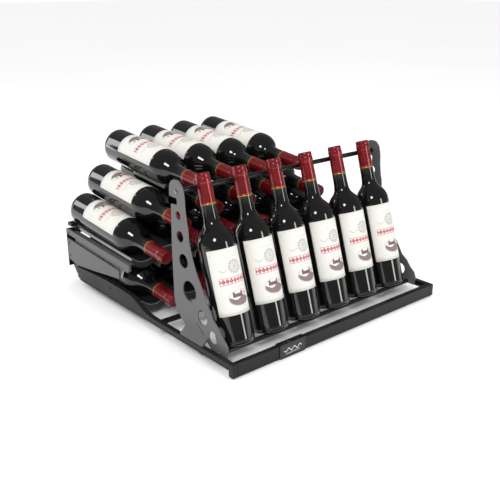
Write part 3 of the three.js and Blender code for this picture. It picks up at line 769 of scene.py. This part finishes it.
def front_bead(node_name, tilt, finish, radius=0.0016):
    """A rounded bead along the wavy front edge of a cradle tray, which carries the painted highlight of that
    edge.
    """
    forward = Vector((0, -math.cos(tilt), -math.sin(tilt)))
    up = Vector((0, -math.sin(tilt), math.cos(tilt)))
    corners = [vertex.co for vertex in frame["nodes"][node_name].data.vertices]
    nearest = max(corner.dot(forward) for corner in corners)
    tops = {}
    for corner in corners:
        if nearest - corner.dot(forward) < 0.0004:
            key = round(corner.x, 4)
            tops[key] = max(tops.get(key, -1.0), corner.dot(up))
    inset = nearest - radius * 1.05
    line = [X_AXIS * x + forward * inset + up * (tops[x] - radius * 0.55) for x in sorted(tops)]
    line[0] += X_AXIS * radius
    line[-1] -= X_AXIS * radius
    bm = bmesh.new()
    loops = []
    for i, spot in enumerate(line):
        along = (line[min(i + 1, len(line) - 1)] - line[max(i - 1, 0)]).normalized()
        side = along.cross(forward).normalized()
        capped = i in (0, len(line) - 1)
        ring = bmesh.ops.create_circle(bm, cap_ends=capped, segments=12, radius=radius)["verts"]
        turn = Matrix((side, forward, side.cross(forward))).transposed().to_4x4()
        bmesh.ops.transform(bm, matrix=Matrix.Translation(spot) @ turn, verts=ring)
        ring_set = set(ring)
        loops.append([e for e in bm.edges if e.verts[0] in ring_set and e.verts[1] in ring_set])
    for before, after in zip(loops, loops[1:]):
        bmesh.ops.bridge_loops(bm, edges=before + after)
    bmesh.ops.recalc_face_normals(bm, faces=bm.faces)
    return finished(node_name + "_bead", bm, "shelf", finish)


def socket_screw(name, centre, outward, radius, rise, finish, replaces=()):
    """A domed screw head with a round socket, seated at centre and facing outward along X."""
    bm = turned([(radius * out, rise * up) for out, up in reversed(SCREW_OUTLINE)], 24, 1.0)
    turn = Matrix.Rotation(math.pi / 2 if outward > 0 else -math.pi / 2, 4, "Y")
    bmesh.ops.transform(bm, matrix=Matrix.Translation(centre) @ turn, verts=bm.verts)
    piece = finished(name, bm, "shelf", finish, replaces)
    piece.modifiers.new("even shading", "WEIGHTED_NORMAL")
    return piece


# Operators


class SHELF_OT_glass(bpy.types.Operator):
    """Spin the glass of every bottle, standing and lying"""

    bl_idname = "wine_shelf.glass"
    bl_label = "Bottle Glass"

    def execute(self, context):
        sizes = context.scene.shelf_bottles
        finish = filled_glass(sizes.glass)
        bm = turned(eased(GLASS_OUTLINE), sizes.steps)
        wrap_profile_uv(bm, BOTTLE_LENGTH * MM)
        smooth_faces(bm)
        on_every_bottle(bm, "glass", finish, hides_bottle=True)
        return {"FINISHED"}


class SHELF_OT_capsules(bpy.types.Operator):
    """Spin the foil capsule over every bottle's mouth"""

    bl_idname = "wine_shelf.capsules"
    bl_label = "Capsules"

    def execute(self, context):
        sizes = context.scene.shelf_bottles
        finish = capsule_foil(sizes.capsule, sizes.band)
        closed = [(13.2, 271.7)] + CAPSULE_OUTLINE
        inner = [(0, 329.8), (13.2, 329.8)]
        bm = turned(inner + eased(closed, 2), sizes.steps)
        wrap_profile_uv(bm, BOTTLE_LENGTH * MM)
        smooth_faces(bm)
        on_every_bottle(bm, "capsule", finish)
        return {"FINISHED"}


class SHELF_OT_labels(bpy.types.Operator):
    """Wrap the printed label round every bottle"""

    bl_idname = "wine_shelf.labels"
    bl_label = "Labels"

    def execute(self, context):
        sizes = context.scene.shelf_bottles
        finish = label_paper(sizes.paper, sizes.accent)
        radius = LABEL_RADIUS * MM
        bm = bmesh.new()
        bmesh.ops.create_grid(bm, x_segments=44, y_segments=12, size=0.5)
        layer = bm.loops.layers.uv.new("label")
        tall = (LABEL_HIGH - LABEL_LOW) * MM
        for face in bm.faces:
            for loop in face.loops:
                across = loop.vert.co.x * sizes.label_turn * radius * 10
                up = (loop.vert.co.y + 0.5) * tall * 10
                loop[layer].uv = (across, up)
        for vertex in bm.verts:
            turn = vertex.co.x * sizes.label_turn + LABEL_FACING
            height = LABEL_LOW * MM + (vertex.co.y + 0.5) * tall
            vertex.co = Vector((radius * math.sin(turn), -radius * math.cos(turn), height))
        smooth_faces(bm)
        bm.normal_update()
        bmesh.ops.solidify(bm, geom=bm.faces[:], thickness=LABEL_SHEET * MM)
        bmesh.ops.recalc_face_normals(bm, faces=bm.faces)
        on_every_bottle(bm, "label", finish)
        return {"FINISHED"}


class SHELF_OT_fascia(bpy.types.Operator):
    """Finish the front bar, its end caps and the label holder"""

    bl_idname = "wine_shelf.fascia"
    bl_label = "Fascia"

    def execute(self, context):
        metal = context.scene.shelf_metal
        black = painted("fascia black", metal.black, (0.2, 0.3), 700.0, 0.06, specular=0.22)
        for name in ("fascia_bar", "fascia_end_left", "fascia_end_right"):
            softened(name, metal.edge * 1.4, black)
        gloss = painted("holder black", metal.black, (0.08, 0.14), 500.0, 0.03)
        softened("label_holder", metal.edge * 0.7, gloss, "label_clip")
        softened("label_card", 0.00005, holder_card(), "label_clip")
        return {"FINISHED"}


class SHELF_OT_rack(bpy.types.Operator):
    """Finish the leaning rack's brackets, rods and screws"""

    bl_idname = "wine_shelf.rack"
    bl_label = "Display Rack"

    def execute(self, context):
        metal = context.scene.shelf_metal
        grey = painted("bracket grey", metal.bracket, (0.34, 0.46), 1100.0, 0.14, specular=0.45)
        black = painted("rod black", metal.black, (0.16, 0.26), 800.0, 0.05)
        steel = screw_steel()
        for side in ("left", "right"):
            softened("bracket_" + side, metal.edge, grey)
            outward = -1 if side == "left" else 1
            for rod in ("neck_rod", "heel_rod"):
                low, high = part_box(f"{rod}_screw_{side}")
                inner = high[0] if outward < 0 else low[0]
                centre = Vector((inner, (low[1] + high[1]) / 2, (low[2] + high[2]) / 2))
                rise = high[0] - low[0]
                radius = (high[2] - low[2]) / 2
                name = f"{rod}_head_{side}"
                socket_screw(name, centre, outward, radius, rise, steel, (f"{rod}_screw_{side}",))
        rod_along_x("neck_rod_tube", "neck_rod", black)
        rod_along_x("heel_rod_tube", "heel_rod", black)
        return {"FINISHED"}


class SHELF_OT_trays(bpy.types.Operator):
    """Finish the two cradle trays and the upper tray's trims"""

    bl_idname = "wine_shelf.trays"
    bl_label = "Cradle Trays"

    def execute(self, context):
        metal = context.scene.shelf_metal
        plastic = painted("tray plastic", metal.plastic, (0.36, 0.5), 1600.0, 0.3)
        # painted highlight: the light grey of the side trims and front beads stands in for light catching
        # the trays' rounded edges
        trim = painted("painted edge highlight grey", (0.27, 0.27, 0.275), (0.32, 0.42), 900.0, 0.1)
        for name, tilt in (("lower_tray", LOWER_TILT), ("upper_tray", UPPER_TILT)):
            softened(name, 0.0011, plastic, crease=35)
            front_bead(name, tilt, trim)
        for side in ("left", "right"):
            softened("tray_trim_" + side, 0.0009, trim)
        return {"FINISHED"}


class SHELF_OT_carcass(bpy.types.Operator):
    """Finish the rails, runners, cross members, arms, posts and their screws"""

    bl_idname = "wine_shelf.carcass"
    bl_label = "Rails and Frame"

    def execute(self, context):
        metal = context.scene.shelf_metal
        rail = painted("rail grey", metal.rail, (0.32, 0.44), 900.0, 0.12, specular=0.22)
        darker = tuple(c * 0.8 for c in metal.rail)
        runner = painted("runner black", darker, (0.38, 0.5), 900.0, 0.12, specular=0.22)
        arm = painted("arm grey", metal.arm, (0.36, 0.48), 1000.0, 0.14)
        black = painted("frame black", metal.black, (0.3, 0.42), 900.0, 0.1, specular=0.3)
        for side in ("left", "right"):
            softened("side_rail_" + side, metal.edge, rail)
            softened("runner_" + side, metal.edge * 0.8, runner, "runners")
            softened("upper_frame_bar_" + side, metal.edge * 1.4, arm)
            softened("arm_plate_" + side, metal.edge * 1.4, arm)
            softened("rear_post_" + side, metal.edge, black)
        for name in ("cross_member_front", "cross_member_middle", "cross_member_rear"):
            softened(name, metal.edge, black)
        for name in ("frame_cross_bar_front", "frame_cross_bar_rear"):
            softened(name, metal.edge * 1.6, black)
        self.arm_screws(black)
        return {"FINISHED"}

    def arm_screws(self, finish):
        """Low screw heads on the outer faces of the arms."""
        for side, outward in (("left", -1), ("right", 1)):
            low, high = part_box("arm_plate_" + side)
            face = low[0] if outward < 0 else high[0]
            for index, (back, height) in enumerate(ARM_SCREWS):
                centre = Vector((face, high[1] - back * MM, height * MM))
                name = f"arm_screw_{side}_{index + 1}"
                socket_screw(name, centre, outward, ARM_SCREW_RADIUS * MM, ARM_SCREW_RISE * MM, finish)


class SHELF_OT_stage(bpy.types.Operator):
    """Set the camera, the pale floor and the soft studio lights"""

    bl_idname = "wine_shelf.stage"
    bl_label = "Studio"

    def execute(self, context):
        sizes = context.scene.shelf_stage
        scene = context.scene
        self.camera(scene, sizes.lens)
        self.floor(sizes.floor)
        self.lights(sizes)
        self.room(scene, sizes)
        scene.view_settings.view_transform = "Standard"
        return {"FINISHED"}

    def room(self, scene, sizes):
        """An even white room, dimmer where polished pieces mirror it."""
        world = bpy.data.worlds.new("studio")
        world.use_nodes = True
        tree = world.node_tree
        rays = tree.nodes.new("ShaderNodeLightPath")
        lit = spread(tree, rays.outputs["Is Glossy Ray"], 0.0, 1.0, sizes.surround, sizes.dimmed)
        seen = spread(tree, rays.outputs["Is Camera Ray"], 0.0, 1.0, 0.0, 1.0)
        shade = tree.nodes["Background"]
        shade.inputs["Color"].default_value = (1, 1, 1, 1)
        tree.links.new(maths(tree, "MAXIMUM", lit, seen), shade.inputs["Strength"])
        scene.world = world

    def camera(self, scene, lens):
        data = bpy.data.cameras.new("view")
        data.lens = lens
        data.sensor_width = 36
        data.clip_end = 100
        camera = bpy.data.objects.new("view", data)
        scene.collection.objects.link(camera)
        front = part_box("fascia_bar")[0]
        camera.location = Vector(CAMERA_PLACE) + Vector((0, front[1], front[2]))
        camera.rotation_euler = (math.radians(90 - CAMERA_DOWN), 0, math.radians(-CAMERA_ROUND))
        scene.camera = camera

    def floor(self, colour):
        bm = bmesh.new()
        bmesh.ops.create_grid(bm, x_segments=1, y_segments=1, size=20)
        mesh = bpy.data.meshes.new("floor")
        bm.to_mesh(mesh)
        bm.free()
        floor = bpy.data.objects.new("floor", mesh)
        bpy.context.scene.collection.objects.link(floor)
        floor.location.z = CAD_BOX[0][2] - 0.0005
        finish, tree, shader = fresh_finish("floor paint")
        soft = noise(tree, place_of(tree), 0.6, 2.0)
        darker = tuple(c * 0.985 for c in colour)
        pale = tint(tree, spread(tree, soft, 0.3, 0.7, 0.0, 1.0), darker, tuple(colour))
        tree.links.new(pale, shader.inputs["Base Color"])
        shader.inputs["Roughness"].default_value = 0.9
        shader.inputs["Specular IOR Level"].default_value = 0.1
        mesh.materials.append(finish)

    def softbox(self, name, place, aim, size, power, shape="RECTANGLE"):
        data = bpy.data.lights.new(name, "AREA")
        data.shape = shape
        data.size, data.size_y = size
        data.energy = power
        light = bpy.data.objects.new(name, data)
        bpy.context.scene.collection.objects.link(light)
        light.location = place
        light.visible_camera = False
        light.rotation_euler = (Vector(aim) - Vector(place)).to_track_quat("-Z", "Y").to_euler()
        return light

    def lights(self, sizes):
        self.softbox(
            "key softbox",
            place=(-1.9, -1.6, 2.1),
            aim=(0, 0, 0.15),
            size=(0.8, 0.8),
            power=sizes.key,
            shape="ELLIPSE",
        )
        self.softbox(
            "front strip",
            place=(0.85, -2.4, 0.6),
            aim=(0, 0, 0.25),
            size=(0.45, 1.5),
            power=sizes.strip,
            shape="ELLIPSE",
        )
        self.softbox(
            "rear strip",
            place=(-1.3, 2.3, 0.9),
            aim=(0, 0, 0.25),
            size=(0.4, 1.7),
            power=sizes.rear,
        )
        overhead = self.softbox(
            "overhead",
            place=(0.2, 0.4, 2.8),
            aim=(0, 0, 0),
            size=(2.4, 2.0),
            power=sizes.overhead,
        )
        overhead.visible_glossy = False


class SHELF_PT_panel(bpy.types.Panel):
    """The shelf's pieces and their sizes"""

    bl_idname = "SHELF_PT_panel"
    bl_label = "Wine Shelf"
    bl_space_type = "VIEW_3D"
    bl_region_type = "UI"
    bl_category = "Wine Shelf"

    def draw(self, context):
        layout = self.layout
        for group in (context.scene.shelf_bottles, context.scene.shelf_metal, context.scene.shelf_stage):
            box = layout.box()
            for key in group.__annotations__:
                box.prop(group, key)
        for operator in OPERATORS:
            layout.operator(operator.bl_idname)


OPERATORS = (
    SHELF_OT_glass,
    SHELF_OT_capsules,
    SHELF_OT_labels,
    SHELF_OT_fascia,
    SHELF_OT_rack,
    SHELF_OT_trays,
    SHELF_OT_carcass,
    SHELF_OT_stage,
)
CLASSES = (SHELF_PG_bottles, SHELF_PG_metal, SHELF_PG_stage, *OPERATORS, SHELF_PT_panel)


def register():
    for item in CLASSES:
        bpy.utils.register_class(item)
    bpy.types.Scene.shelf_bottles = bpy.props.PointerProperty(type=SHELF_PG_bottles)
    bpy.types.Scene.shelf_metal = bpy.props.PointerProperty(type=SHELF_PG_metal)
    bpy.types.Scene.shelf_stage = bpy.props.PointerProperty(type=SHELF_PG_stage)


def unregister():
    del bpy.types.Scene.shelf_stage
    del bpy.types.Scene.shelf_metal
    del bpy.types.Scene.shelf_bottles
    for item in reversed(CLASSES):
        bpy.utils.unregister_class(item)


def main():
    register()
    bpy.ops.wine_shelf.glass()
    bpy.ops.wine_shelf.capsules()
    bpy.ops.wine_shelf.labels()
    bpy.ops.wine_shelf.fascia()
    bpy.ops.wine_shelf.rack()
    bpy.ops.wine_shelf.trays()
    bpy.ops.wine_shelf.carcass()
    bpy.ops.wine_shelf.stage()


if __name__ == "__main__":
    main()
